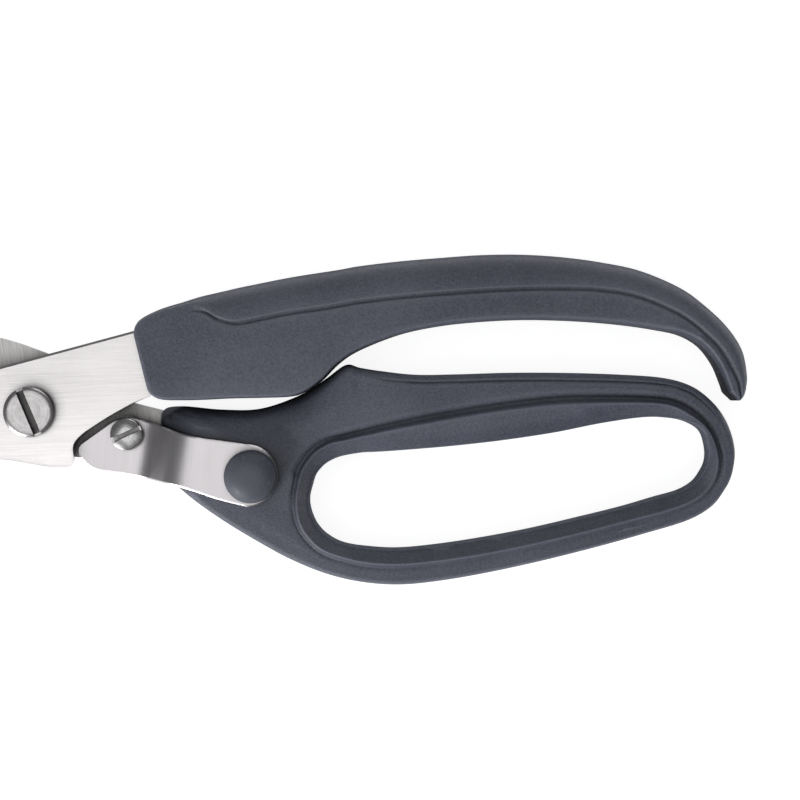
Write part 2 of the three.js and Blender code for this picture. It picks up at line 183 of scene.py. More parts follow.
def mesh_from(name, vertices, faces):
    """A mesh from points in millimetres, with doubles merged and faces pointing out."""
    mesh = bpy.data.meshes.new(name)
    mesh.from_pydata([tuple(v * MM for v in p) for p in vertices], [], faces)
    mesh.validate()
    work = bmesh.new()
    work.from_mesh(mesh)
    bmesh.ops.remove_doubles(work, verts=work.verts, dist=MERGE_DISTANCE)
    bmesh.ops.recalc_face_normals(work, faces=work.faces)
    work.to_mesh(mesh)
    work.free()
    return mesh


def plate_mesh(name, outer, holes, lines, top, bottom):
    """A plate between two height functions of (x, y), with extra mesh lines where it creases."""
    coords, edges = [], []
    for ring in [outer, *holes]:
        first = len(coords)
        coords.extend(Vector(p) for p in ring)
        edges.extend((first + i, first + (i + 1) % len(ring)) for i in range(len(ring)))
    for line in lines:
        first = len(coords)
        coords.extend(Vector(p) for p in line)
        edges.extend((first + i, first + i + 1) for i in range(len(line) - 1))
    points, _, triangles, *_ = delaunay_2d_cdt(coords, edges, [], 0, SAME_POINT)
    xy = np.array([(p.x, p.y) for p in points])
    tri = np.array(triangles)
    centre = xy[tri].mean(axis=1)
    keep = inside(centre, outer)
    for ring in holes:
        keep &= ~inside(centre, ring)
    tri = tri[keep]
    side = xy[tri[:, 1]] - xy[tri[:, 0]]
    other = xy[tri[:, 2]] - xy[tri[:, 0]]
    area = side[:, 0] * other[:, 1] - side[:, 1] * other[:, 0]
    real = np.abs(area) > LEAST_AREA
    tri, area = tri[real], area[real]
    tri[area < 0] = tri[area < 0][:, ::-1]
    count = len(xy)
    vertices = [(*p, z) for level in (top(xy), bottom(xy)) for p, z in zip(xy, level)]
    faces = [tuple(t) for t in tri] + [tuple(count + i for i in t[::-1]) for t in tri]
    used = {(t[i], t[(i + 1) % 3]) for t in tri for i in range(3)}
    for a, b in used:
        if (b, a) not in used:
            faces.append((b, a, count + a, count + b))
    return mesh_from(name, vertices, faces)


def loft_mesh(name, sections, closed=False):
    """Faces between rings of the same number of points, with both ends capped if not closed."""
    rows, size = len(sections), len(sections[0])
    vertices = [p for ring in sections for p in ring]
    faces = []
    for i in range(rows if closed else rows - 1):
        a, b = i * size, ((i + 1) % rows) * size
        for j in range(size):
            k = (j + 1) % size
            faces.append((a + j, a + k, b + k, b + j))
    if not closed:
        faces.append(tuple(range(size)))
        faces.append(tuple((rows - 1) * size + j for j in range(size)))
    return mesh_from(name, vertices, faces)


def lathe_mesh(name, centre, profile):
    """A turned piece from a profile of (radius, z) that starts and ends on the axis."""
    x, y = centre
    inner = profile[1:-1]
    size = len(inner)
    vertices = []
    for i in range(LATHE_SEGMENTS):
        angle = 2 * math.pi * i / LATHE_SEGMENTS
        vertices += [(x + r * math.cos(angle), y + r * math.sin(angle), z) for r, z in inner]
    first, last = len(vertices), len(vertices) + 1
    vertices += [(x, y, profile[0][1]), (x, y, profile[-1][1])]
    faces = []
    for i in range(LATHE_SEGMENTS):
        a, b = i * size, ((i + 1) % LATHE_SEGMENTS) * size
        faces.extend((a + j, b + j, b + j + 1, a + j + 1) for j in range(size - 1))
        faces.append((first, b, a))
        faces.append((last, a + size - 1, b + size - 1))
    return mesh_from(name, vertices, faces)


def arc(centre, radius, start, end, steps):
    """Points of an arc in a (radius, height) profile, angles in degrees."""
    angles = np.radians(np.linspace(start, end, steps))
    return [(centre[0] + radius * math.cos(a), centre[1] + radius * math.sin(a)) for a in angles]


def carve(mesh, cutter, bevel):
    """The mesh with the cutter's volume taken out and its sharp edges bevelled."""
    body, tool = add_object("carved", mesh), add_object("cutter", cutter)
    cut = body.modifiers.new("cut", "BOOLEAN")
    cut.object = tool
    cut.operation = "DIFFERENCE"
    cut.solver = "EXACT"
    soften = body.modifiers.new("soften", "BEVEL")
    soften.width = bevel * MM
    soften.segments = 2
    soften.limit_method = "ANGLE"
    soften.angle_limit = math.radians(50)
    evaluated = body.evaluated_get(bpy.context.evaluated_depsgraph_get())
    result = bpy.data.meshes.new_from_object(evaluated)
    bpy.data.objects.remove(body)
    bpy.data.objects.remove(tool)
    return result


def slot_cutter(centre, angle, floor, width, length):
    """A long box for a screwdriver slot, open at the top."""
    along = Vector((math.cos(angle), math.sin(angle), 0)) * length / 2
    across = Vector((-math.sin(angle), math.cos(angle), 0)) * width / 2
    base = Vector((centre[0], centre[1], floor))
    corners = [base + a * along + b * across for a, b in ((-1, -1), (1, -1), (1, 1), (-1, 1))]
    up = Vector((0, 0, CUTTER_HEIGHT))
    vertices = corners + [p + up for p in corners]
    faces = [(3, 2, 1, 0), (4, 5, 6, 7)]
    faces += [(i, (i + 1) % 4, (i + 1) % 4 + 4, i + 4) for i in range(4)]
    return mesh_from("slot_cutter", vertices, faces)


# ---------------------------------------------------------------- materials

# Painted shade: nearby pieces are looked for straight out from the surface and, by this much, towards
# the key light, so the shade falls where the key light's shadows would.
PAINTED_SHADE_LEAN = (-0.45, -0.5, 0.0)
# How far below a screw's top face the slot's painted colour starts, and where it is full.
SLOT_START, SLOT_FULL = 0.12, 0.5


def times(colour, factor):
    """A colour made darker or lighter."""
    return tuple(min(1.0, factor * c) for c in colour)


class Nodes:
    """Short names for the node types that the materials are built from."""

    def __init__(self, name):
        self.material = bpy.data.materials.new(name)
        self.material.use_nodes = True
        self.tree = self.material.node_tree
        self.shader = self.tree.nodes["Principled BSDF"]
        self.position = self.add("ShaderNodeTexCoord").outputs["Object"]

    def add(self, kind, **settings):
        node = self.tree.nodes.new(kind)
        for key, value in settings.items():
            setattr(node, key, value)
        return node

    def link(self, source, target):
        self.tree.links.new(source, target)

    def scaled(self, scale, vector=None, rotation=(0, 0, 0)):
        turn = self.add("ShaderNodeMapping")
        turn.inputs["Rotation"].default_value = rotation
        self.link(vector or self.position, turn.inputs["Vector"])
        stretch = self.add("ShaderNodeMapping")
        stretch.inputs["Scale"].default_value = scale
        self.link(turn.outputs["Vector"], stretch.inputs["Vector"])
        return stretch.outputs["Vector"]

    def noise(self, vector, scale=1.0, detail=3.0, roughness=0.5):
        node = self.add("ShaderNodeTexNoise")
        node.inputs["Scale"].default_value = scale
        node.inputs["Detail"].default_value = detail
        node.inputs["Roughness"].default_value = roughness
        self.link(vector, node.inputs["Vector"])
        return node.outputs["Fac"]

    def ramp(self, value, low, high, start=0.0, end=1.0):
        node = self.add("ShaderNodeMapRange")
        for key, number in zip(("From Min", "From Max", "To Min", "To Max"), (start, end, low, high)):
            node.inputs[key].default_value = number
        self.link(value, node.inputs["Value"])
        return node.outputs["Result"]

    def colours(self, value, stops):
        node = self.add("ShaderNodeValToRGB")
        ramp = node.color_ramp
        while len(ramp.elements) < len(stops):
            ramp.elements.new(0.5)
        for element, (place, colour) in zip(ramp.elements, stops):
            element.position = place
            element.color = (*colour, 1)
        self.link(value, node.inputs["Fac"])
        return node.outputs["Color"]

    def maths(self, operation, a, b):
        node = self.add("ShaderNodeMath", operation=operation)
        for socket, value in zip(node.inputs, (a, b)):
            if isinstance(value, (int, float)):
                socket.default_value = value
            else:
                self.link(value, socket)
        return node.outputs["Value"]

    def mix(self, factor, a, b):
        node = self.add("ShaderNodeMix", data_type="RGBA")
        self.link(factor, node.inputs["Factor"])
        for key, value in (("A", a), ("B", b)):
            socket = [s for s in node.inputs if s.name == key and s.type == "RGBA"][0]
            if isinstance(value, tuple):
                socket.default_value = (*value, 1)
            else:
                self.link(value, socket)
        return [s for s in node.outputs if s.type == "RGBA"][0]

    def weigh(self, a, b, share):
        """The sum of two values, with `share` of the first and the rest of the second."""
        return self.maths("ADD", self.maths("MULTIPLY", a, share), self.maths("MULTIPLY", b, 1 - share))

    def bump(self, height, distance, normal=None):
        node = self.add("ShaderNodeBump")
        node.inputs["Distance"].default_value = distance
        self.link(height, node.inputs["Height"])
        if normal:
            self.link(normal, node.inputs["Normal"])
        return node.outputs["Normal"]

    def geometry(self, output):
        return self.add("ShaderNodeNewGeometry").outputs[output]

    def axes(self, vector=None):
        """X, Y and Z of a vector, or of the place on the piece."""
        node = self.add("ShaderNodeSeparateXYZ")
        self.link(vector or self.position, node.inputs["Vector"])
        return node.outputs

    def level(self):
        """1 on level faces, 0 on upright ones."""
        return self.maths("ABSOLUTE", self.axes(self.geometry("Normal"))["Z"], 0)

    def square_from(self, centre):
        """Squared distance from a vertical axis, in square metres."""
        place = self.axes()
        x = self.maths("SUBTRACT", place["X"], centre[0] * MM)
        y = self.maths("SUBTRACT", place["Y"], centre[1] * MM)
        return self.maths("ADD", self.maths("MULTIPLY", x, x), self.maths("MULTIPLY", y, y))

    def worn_edges(self, width=0.04):
        """1 on convex edges, 0 elsewhere."""
        return self.ramp(self.geometry("Pointiness"), 0, 1, 0.5 + width / 4, 0.5 + width)

    def painted_contact_shade(self, reach):
        """Painted shade: 1 close behind raised pieces, on the side away from the key light, and in
        narrow gaps; 0 in the open.
        """
        lean = self.add("ShaderNodeVectorMath", operation="ADD")
        self.link(self.geometry("Normal"), lean.inputs[0])
        lean.inputs[1].default_value = PAINTED_SHADE_LEAN
        node = self.add("ShaderNodeAmbientOcclusion", samples=8)
        node.inputs["Distance"].default_value = reach * MM
        self.link(lean.outputs["Vector"], node.inputs["Normal"])
        return self.ramp(node.outputs["AO"], 1, 0, 0.25, 0.85)

    def slot_depth(self, centre, top, radius):
        """1 inside a screw's slot, which lies within a radius and below its top; 0 outside it."""
        near = self.maths("LESS_THAN", self.square_from(centre), (radius * MM) ** 2)
        below = self.ramp(self.axes()["Z"], 0, 1, (top - SLOT_START) * MM, (top - SLOT_FULL) * MM)
        return self.maths("MULTIPLY", near, below)

    def surface(self, colour=None, roughness=None, normal=None):
        for value, key in ((colour, "Base Color"), (roughness, "Roughness"), (normal, "Normal")):
            if value is not None:
                self.link(value, self.shader.inputs[key])


def moulded_plastic(name, dark, light, roughness, grain):
    """Moulded plastic with a fine matte grain, slight clouding, polished, paler edges and painted shade
    behind raised pieces and in gaps.
    """
    n = Nodes(name)
    fine = n.noise(n.position, scale=2100, detail=4, roughness=0.7)
    cloud = n.noise(n.position, scale=45, detail=4, roughness=0.55)
    colour = n.colours(n.weigh(fine, cloud, 0.65), [(0.36, dark), (0.64, light)])
    polished = n.maths("MULTIPLY", n.worn_edges(width=0.025), 0.4)
    colour = n.mix(polished, colour, times(light, 1.6))
    # Painted shade: the plastic is darkened behind raised pieces and in gaps, where their shadows fall.
    painted_shade = n.maths("MULTIPLY", n.painted_contact_shade(reach=9), 0.85)
    colour = n.mix(painted_shade, colour, times(dark, 0.12))
    patches = n.noise(n.position, scale=900, detail=3)
    rough = n.ramp(patches, roughness - 0.06, roughness + 0.08, 0.3, 0.7)
    scratches = n.noise(n.scaled((60, 2200, 900), rotation=(0, 0, 0.35)), detail=2)
    scuff = n.ramp(scratches, 0, 1, 0.66, 0.74)
    rough = n.maths("SUBTRACT", rough, n.maths("MULTIPLY", scuff, 0.06))
    normal = n.bump(cloud, 0.00004, n.bump(fine, grain))
    # The drafted side walls keep a coarser, duller mould texture than the faces.
    level = n.level()
    rough = n.maths("ADD", rough, n.ramp(level, 0.35, 0, 0.15, 0.55))
    n.link(n.ramp(level, 0.06, 0.5, 0.15, 0.55), n.shader.inputs["Specular IOR Level"])
    n.surface(colour, rough, normal)
    n.shader.inputs["IOR"].default_value = 1.48
    return n.material


def brushed_steel(name, dark, light, roughness, direction, depth=0.000012, shade=None, reach=3.2):
    """Steel brushed along one direction in the XY plane, given in radians.

    shade: axis, two places in mm and how much lighter or darker the steel is painted at the second, a
    painted light or shade;
    reach: how far from raised pieces the painted shade spreads over the steel, in mm.
    """
    n = Nodes(name)
    turn = (0, 0, -direction)
    fine = n.noise(n.scaled((90, 5200, 5200), rotation=turn), detail=4, roughness=0.7)
    broad = n.noise(n.scaled((18, 700, 700), rotation=turn))
    cloud = n.noise(n.position, scale=28, detail=2)
    mixed = n.weigh(fine, broad, 0.86)
    low, high = 0.34, 0.62
    colour = n.colours(mixed, [(low, dark), (high, light)])
    # Painted light or shade: a lighter or darker copy of the steel is blended in along one axis.
    if shade:
        axis, start, end, strength = shade
        place = n.ramp(n.axes()[axis], 0, 1, start * MM, end * MM)
        painted_copy = n.colours(mixed, [(low, times(dark, strength)), (high, times(light, strength))])
        colour = n.mix(place, colour, painted_copy)
    colour = n.mix(n.maths("MULTIPLY", n.worn_edges(), 0.3), colour, times(light, 1.12))
    # Painted shade: the steel is darkened behind raised pieces and in gaps, where their shadows fall.
    painted_shade = n.maths("MULTIPLY", n.painted_contact_shade(reach), 0.95)
    colour = n.mix(painted_shade, colour, times(dark, 0.05))
    rough = n.ramp(mixed, roughness + 0.07, roughness - 0.04, 0.3, 0.7)
    rough = n.maths("ADD", rough, n.ramp(cloud, -0.03, 0.03, 0.3, 0.7))
    n.surface(colour, rough, n.bump(mixed, depth))
    n.shader.inputs["Metallic"].default_value = 1
    return n.material


def turned_steel(name, dark, light, roughness, centre, slot=None):
    """Steel with fine rings round a vertical axis, as a lathe leaves it.

    slot: height and radius in mm that a screw's slot lies below and within, and the colour painted in
    it in place of its light and shade.
    """
    n = Nodes(name)
    join = n.add("ShaderNodeCombineXYZ")
    n.link(n.maths("SQRT", n.square_from(centre), 0), join.inputs["X"])
    n.link(n.axes()["Z"], join.inputs["Y"])
    rings = n.noise(n.scaled((3600, 3600, 1), join.outputs["Vector"]), roughness=0.6)
    spots = n.noise(n.position, scale=700)
    mixed = n.weigh(rings, spots, 0.55)
    colour = n.colours(mixed, [(0.33, dark), (0.66, light)])
    colour = n.mix(n.maths("MULTIPLY", n.worn_edges(), 0.5), colour, times(light, 1.15))
    rough = n.ramp(mixed, roughness + 0.08, roughness - 0.06, 0.3, 0.7)
    # The sides and the rim are rougher, and painted darker to dim the lamps' bright reflection in them.
    steep = n.ramp(n.level(), 1, 0, 0.35, 0.92)
    colour = n.mix(n.maths("MULTIPLY", steep, 0.8), colour, times(dark, 0.25))
    rough = n.maths("ADD", rough, n.maths("MULTIPLY", steep, 0.25))
    if slot:
        top, radius, painted_slot_tone = slot
        # The slot is painted its own tone in place of its light and shade, and painted shade darkens it
        # next to its walls.
        inside_slot = n.slot_depth(centre, top, radius)
        colour = n.mix(inside_slot, colour, painted_slot_tone)
        painted_shade = n.maths("MULTIPLY", inside_slot, n.painted_contact_shade(reach=2))
        colour = n.mix(painted_shade, colour, times(dark, 0.04))
        rough = n.maths("ADD", rough, n.maths("MULTIPLY", inside_slot, 0.25))
    n.surface(colour, rough, n.bump(mixed, 0.000014))
    n.shader.inputs["Metallic"].default_value = 1
    return n.material


GRIP = moulded_plastic("grip_plastic", (0.053, 0.059, 0.083), (0.117, 0.126, 0.160), 0.45, 0.00013)
BUTTON_PLASTIC = moulded_plastic(
    "button_plastic", (0.074, 0.081, 0.103), (0.094, 0.102, 0.128), 0.5, 0.00004
)
# Painted light: the front blade is painted up to 1.3 times lighter from Y = 6 down to Y = -10 mm, where
# it looks brightest.
FRONT_STEEL = brushed_steel(
    "front_blade_steel", (0.63, 0.605, 0.605), (0.71, 0.685, 0.685), 0.28, 0.05,
    shade=("Y", 6, -10, 1.3)
)
# Painted shade: the rear blade is painted darker from X = 5 to 12 mm on, over the tang that lies in
# shade between the front blade and the lever.
REAR_STEEL = brushed_steel(
    "rear_blade_steel", (0.22, 0.21, 0.21), (0.56, 0.55, 0.54), 0.32, math.radians(98), 0.00003,
    shade=("X", 5, 12, 0.55), reach=4.5
)
LEVER_STEEL = brushed_steel(
    "lever_steel", (0.575, 0.55, 0.565), (0.625, 0.60, 0.615), 0.3, math.radians(84)
)
# Each screw's slot is painted in its own tone in place of its light and shade: dark on the pivot screw,
# pale on the lock screw.
PIVOT_STEEL = turned_steel(
    "pivot_screw_steel", (0.42, 0.40, 0.40), (0.60, 0.58, 0.585), 0.28, (0, 0),
    (12.7, 4.8, (0.24, 0.235, 0.23))
)
LOCK_STEEL = turned_steel(
    "lock_screw_steel", (0.42, 0.41, 0.41), (0.66, 0.65, 0.65), 0.25, LOCK,
    (10.55, 3.0, (0.72, 0.70, 0.69))
)
# The lock's washer is blackened.
WASHER_STEEL = turned_steel("washer_steel", (0.05, 0.05, 0.05), (0.09, 0.09, 0.09), 0.45, LOCK)
STUD_STEEL = turned_steel("stud_steel", (0.40, 0.39, 0.39), (0.60, 0.59, 0.59), 0.33, BUTTON)
WIRE_STEEL = brushed_steel("spring_steel", (0.20, 0.21, 0.22), (0.36, 0.37, 0.38), 0.36, 0.3)


# ---------------------------------------------------------------- handles

def superellipse(steps, power):
    """Quarter of a rounded section: how far across and how high, each from 0 to 1."""
    angle = np.linspace(0, np.pi / 2, steps)
    return 1 - np.cos(angle) ** power, np.sin(angle) ** power


# The upper handle: pairs of points on its outer and inner edge, and how far the groove lies
# from the outer edge.
UPPER_STATIONS = [
    (21.9, 17.2, 25.2, 4.0, 1.8),
    (23.3, 19.5, 27.5, 2.6, 1.8),
    (27.3, 21.6, 31.5, 2.4, 2.0),
    (32.0, 23.1, 36.0, 2.5, 2.3),
    (35.7, 24.3, 40.0, 2.7, 3.3),
    (38.5, 25.0, 42.7, 2.8, 5.7),
    (41.3, 25.65, 45.3, 2.85, 7.2),
    (44.1, 26.3, 48.0, 2.9, 7.7),
    (52.5, 28.0, 54.6, 3.2, 7.7),
    (56.7, 28.75, 57.9, 4.3, 7.8),
    (60.9, 29.4, 61.3, 6.7, 7.9),
    (65.1, 30.05, 64.77, 10.18, 7.9),
    (69.27, 30.8, 69.14, 13.02, 7.9),
    (77.7, 31.8, 77.7, 16.37, 7.9),
    (86.13, 32.51, 86.26, 18.18, 7.9),
    (94.56, 33.1, 94.82, 19.09, 7.9),
    (102.99, 33.2, 103.39, 19.5, 7.6),
    (111.42, 32.7, 111.14, 19.4, 7.0),
    (119.84, 31.6, 118.79, 18.99, 6.2),
    (128.27, 29.79, 125.92, 18.29, 5.8),
    (136.7, 26.19, 132.04, 17.38, 5.5),
    (142.22, 22.17, 137.14, 16.26, 5.0),
    (146.74, 17.76, 141.22, 13.93, 4.9),
    (149.75, 12.93, 144.17, 10.19, 4.4),
    (150.66, 7.82, 145.91, 6.24, 2.9),
    (150.36, 4.91, 146.62, 4.22, 1.9),
]
# Up to this width the section's details shrink with it.
FULL_WIDTH = 6
UPPER_EDGE_R = 0.7
UPPER_FACE_R = 0.7
BAND_DROP = 0.12
BAND_POWER = 0.86
GROOVE_HALF = 0.9
GRIP_GROOVE_DEPTH = 0.45
GROOVE_START_X = 32.5
GROOVE_FADE = 4.5
# The groove's section: places in half widths from its outer side, and share of its depth.
GROOVE_SHAPE = ((0.3, 0.04), (0.45, 0.2), (0.75, 0.64), (0.98, 0.96), (1.1, 1.0), (1.25, 0.78),
                (1.5, 0.28), (1.7, 0.05))
# The hook's rounded end: pairs of points that close in on its lowest point.
HOOK_END = [
    (150.1, 4.0, 147.2, 3.6),
    (149.75, 3.3, 147.75, 3.1),
    (149.3, 2.8, 148.1, 2.72),
    (148.95, 2.5, 148.4, 2.46),
    (148.75, 2.4, 148.55, 2.38),
]


def upper_profile(width, groove, fade):
    """Distance from the outer edge and height over the middle plane, from edge to edge."""
    size = min(1.0, width / FULL_WIDTH)
    rim = UPPER_EDGE_R * size
    groove = min(groove, width - 1.9 * size)
    half, lip = GROOVE_HALF * size, HALF_THICKNESS - BAND_DROP
    depth = GRIP_GROOVE_DEPTH * fade
    across, up = superellipse(14, BAND_POWER)
    band = groove - half
    points = [(band * a, lip * u) for a, u in zip(across, up)]
    for place, share in GROOVE_SHAPE:
        level = lip + (HALF_THICKNESS - lip) * place / 2
        points.append((band + half * place, level - depth * share))
    start, end = groove + 1.4 * half, width - rim - 0.1
    points.extend((start + (end - start) * t, HALF_THICKNESS) for t in (0, 0.33, 0.66, 1))
    across, up = superellipse(6, 1.0)
    top = HALF_THICKNESS - rim
    points.extend((width - 0.1 - rim * a, top + rim * u) for a, u in list(zip(across, up))[-2::-1])
    points.append((width - 0.03, 0.5 * HALF_THICKNESS))
    return points


def upper_handle():
    """A loft along the handle, from its front face, whose edges are rounded, to the hook's end."""
    keys = catmull(UPPER_STATIONS, 8)
    start = [keys[0] + (keys[2] - keys[0]) * t for t in (0, 0.1, 0.25, 0.5, 0.75)]
    keys = np.vstack([start, keys[2:]])
    face = (keys[0, :2] + keys[0, 2:4]) / 2
    ruling = keys[0, 2:4] - keys[0, :2]
    inward = np.array([-ruling[1], ruling[0]]) / np.linalg.norm(ruling)
    sections = []
    for key in keys:
        outer, inner, groove = key[:2], key[2:4], key[4]
        width = np.linalg.norm(inner - outer)
        along = (inner - outer) / width
        depth = max(0.0, ((outer + inner) / 2 - face) @ inward)
        inset = 0.0
        if depth < UPPER_FACE_R:
            inset = UPPER_FACE_R - math.sqrt(UPPER_FACE_R**2 - (UPPER_FACE_R - depth) ** 2)
        fade = np.clip((outer[0] - GROOVE_START_X) / GROOVE_FADE, 0, 1)
        half = upper_profile(width, groove, fade * fade * (3 - 2 * fade))
        shrink = (width - 2 * inset) / width
        flat = (HALF_THICKNESS - inset) / HALF_THICKNESS
        front = [(*(outer + along * (inset + u * shrink)), MID_Z + h * flat) for u, h in half]
        back = [(x, y, 2 * MID_Z - z) for x, y, z in front[:0:-1]]
        sections.append(front + back)
    last = np.array(sections[-1])
    first, second = keys[-1, :2], keys[-1, 2:4]
    width = np.linalg.norm(second - first)
    share = ((last[:, :2] - first) @ (second - first)) / width**2
    for row in catmull([(*first, *second), *HOOK_END], 2)[1:]:
        a, b = row[:2], row[2:]
        narrow = np.linalg.norm(b - a) / width
        level = MID_Z + (last[:, 2] - MID_Z) * (0.72 + 0.28 * math.sqrt(min(1, narrow)))
        sections.append([(*(a + (b - a) * t), z) for t, z in zip(share, level)])
    return loft_mesh("upper_handle_visual", sections)


# The lower handle, clockwise round the finger hole: points on the outer edge, on the groove
# outside the bead, and on the edge of the hole.
LOWER_STATIONS = [
    (27.4, -5.0, 55.6, -15.2, 59.16, -15.58),
    (27.6, 0.1, 56.0, -13.2, 59.76, -13.59),
    (31.5, 1.2, 56.8, -11.2, 60.62, -12.28),
    (40.0, 0.5, 58.4, -8.9, 61.91, -11.0),
    (48.3, 0.7, 60.3, -7.1, 63.17, -10.18),
    (56.7, 3.6, 62.9, -5.7, 64.92, -9.42),
    (62.0, 6.9, 65.6, -5.1, 67.08, -8.92),
    (66.3, 9.85, 68.8, -4.3, 69.96, -8.49),
    (69.4, 9.25, 71.3, -3.7, 72.36, -8.39),
    (73.5, 8.6, 74.3, -2.95, 75.04, -8.24),
    (81.0, 7.8, 81.5, -1.4, 82.02, -7.72),
    (90.0, 7.9, 90.0, 0.15, 90.0, -7.01),
    (100.0, 8.2, 100.0, 1.7, 100.0, -5.85),
    (111.3, 8.2, 111.0, 2.9, 110.47, -4.25),
    (122.0, 7.9, 121.0, 3.05, 119.65, -2.41),
    (132.3, 7.2, 130.6, 2.7, 128.51, -1.13),
    (138.5, 5.5, 135.3, 1.9, 133.99, -1.23),
    (142.8, 2.4, 139.2, -0.3, 137.92, -1.95),
    (145.6, -1.2, 142.2, -3.6, 141.15, -3.88),
    (147.2, -5.2, 144.1, -7.4, 142.34, -7.07),
    (147.7, -9.0, 144.8, -10.6, 142.44, -10.03),
    (147.0, -13.3, 144.2, -13.9, 141.44, -12.52),
    (145.5, -16.4, 142.4, -16.8, 139.55, -14.9),
    (142.8, -19.8, 139.2, -19.2, 136.41, -16.66),
    (137.8, -22.7, 134.2, -21.2, 131.49, -18.06),
    (129.0, -25.4, 126.5, -23.3, 124.79, -20.04),
    (119.0, -28.2, 117.0, -25.8, 115.69, -22.3),
    (107.5, -31.1, 106.0, -28.4, 105.11, -24.77),
    (96.0, -33.6, 95.0, -30.6, 94.55, -26.75),
    (86.1, -35.3, 85.6, -32.0, 85.06, -28.16),
    (77.7, -36.1, 77.4, -32.7, 77.22, -28.86),
    (70.0, -35.6, 70.3, -32.3, 70.92, -28.56),
    (62.5, -33.9, 64.4, -30.9, 65.81, -27.74),
    (55.0, -30.9, 60.5, -29.2, 62.41, -26.02),
    (48.3, -27.3, 57.6, -26.4, 60.34, -23.93),
    (41.0, -22.9, 56.0, -23.6, 59.23, -21.76),
    (34.7, -18.5, 55.3, -20.6, 58.66, -19.67),
    (29.5, -14.2, 55.2, -18.3, 58.6, -18.02),
    (27.7, -9.8, 55.3, -16.7, 58.83, -16.79),
]
CORE_HALF = 6.3
TOP_EDGE_R = 2.0
LOW_EDGE_R = 1.1
BEAD_DROP = 2.9
HOLE_EDGE_R = 0.5
TOP_CROWN = 0.2
LOW_CROWN = 0.6
NOSE_CROWN = 3.8
CROWN_REACH = 8.0
# The crown grows to the left and the bevel's crease to the right: from which X, over what length.
CROWN_STRETCH = (70, 14)
CREASE_STRETCH = (72, 8)
NOSE_START = (26.0, 7.05)
NOSE_SLOPE = 0.716
NOSE_ROUNDING = 0.8
NOSE_LEAST = 0.4
NOSE_BLEND = 0.5


def smooth_min(a, b, k):
    """The lower of two heights, blended where they are less than `k` apart."""
    h = np.clip(0.5 + 0.5 * (b - a) / k, 0, 1)
    return b * (1 - h) + a * h - k * h * (1 - h)


# Places across the rim, in mm from the outer edge, and how far the bevel, with a crease inside
# it, lies below the flat face there.
RIM_PLACES = (0, 0.05, 0.12, 0.25, 0.45, 0.7, 1.0, 1.3, 1.42, 1.5, 1.58, 1.68, 1.82, 2.0, 2.3,
              2.7, 3.0)
BEVEL_DROPS = (1.8, 1.4, 1.15, 0.95, 0.82, 0.7, 0.57, 0.45, 0.45, 0.54, 0.58, 0.52, 0.35, 0.18,
               0.05, 0, 0)
# The walls of the groove outside the bead: places across each wall and share of its height.
NEAR_WALL = ((-1, 0), (-0.8, 0.05), (-0.58, 0.19), (-0.37, 0.42), (-0.18, 0.7), (-0.05, 0.95),
             (0.03, 1.0))
FAR_WALL = ((0.15, 0.06), (0.35, 0.3), (0.55, 0.6), (0.75, 0.86), (0.9, 0.97), (1.0, 1.0))
# Height of the bead over the flat face, and how far the face swells between rim and groove.
CREST = 0.67
SWELL = 0.12
SWELL_WIDTH = 6
# The groove's outer wall is wider along the top. Its depth depends on the way the handle runs.
NEAR_WIDTH = (1.0, 0.9)
BEAD_GROOVE_DEPTH = (0.48, 0.36, 0.1)


def lower_profile(face, bead, lean, rim, crown, step, near, cut):
    """Distance from the outer edge and height over the middle plane, outer edge to hole.

    step: 1 where the rim is a bevel with a crease, 0 where it is round; near: width of the
    groove's outer wall; cut: depth of the groove.
    """
    scale = min(1 / max(lean, 0.4), (face - near - 0.15) / RIM_PLACES[-1])
    points = []
    for place, drop in zip(RIM_PLACES, BEVEL_DROPS):
        bend = max(0.0, 1 - place / rim)
        rounded = rim * (1 - math.sqrt(1 - bend * bend))
        points.append((place * scale, CORE_HALF - rounded * (1 - step) - drop * step))
    start, end = RIM_PLACES[-1] * scale, face - near
    swell = SWELL * min(1.0, (end - start) / SWELL_WIDTH)
    points += [(start + (end - start) * f, CORE_HALF + swell * math.sin(math.pi * f))
               for f in (0.2, 0.4, 0.6, 0.8)]
    points += [(face + near * place, CORE_HALF - cut * share) for place, share in NEAR_WALL]
    wide = min(max((bead - 4.2) / 2.4, 0.0), 1.0)
    crest = min(1.05 + 0.45 * wide, 0.45 * bead)
    points += [(face + 0.1 + (crest - 0.1) * f, CORE_HALF - cut + (CREST + cut) * share)
               for f, share in FAR_WALL]
    slope = bead - crest - HOLE_EDGE_R
    top = CORE_HALF + CREST
    for f in (0.06, 0.2, 0.4, 0.6, 0.8, 1):
        points.append((face + crest + slope * f,
                       top - BEAD_DROP * (f * (1 - 0.75 * wide) + 0.75 * wide * f * f)))
    low = top - BEAD_DROP
    for angle in np.radians([60, 38, 18, 0]):
        points.append((face + bead - HOLE_EDGE_R * (1 - math.cos(angle)),
                       low - HOLE_EDGE_R * (1.2 - math.sin(angle))))
    points.append((face + bead, 1.2))
    # The face falls away towards the outer edge over the crown's reach.
    reach = CROWN_REACH / max(lean, 0.4)
    lowered = [(u, h - crown * max(0.0, 1 - u / reach) ** 2) for u, h in points]
    return [(0.0, 0.0), (0.0, 0.5 * lowered[0][1]), *lowered]


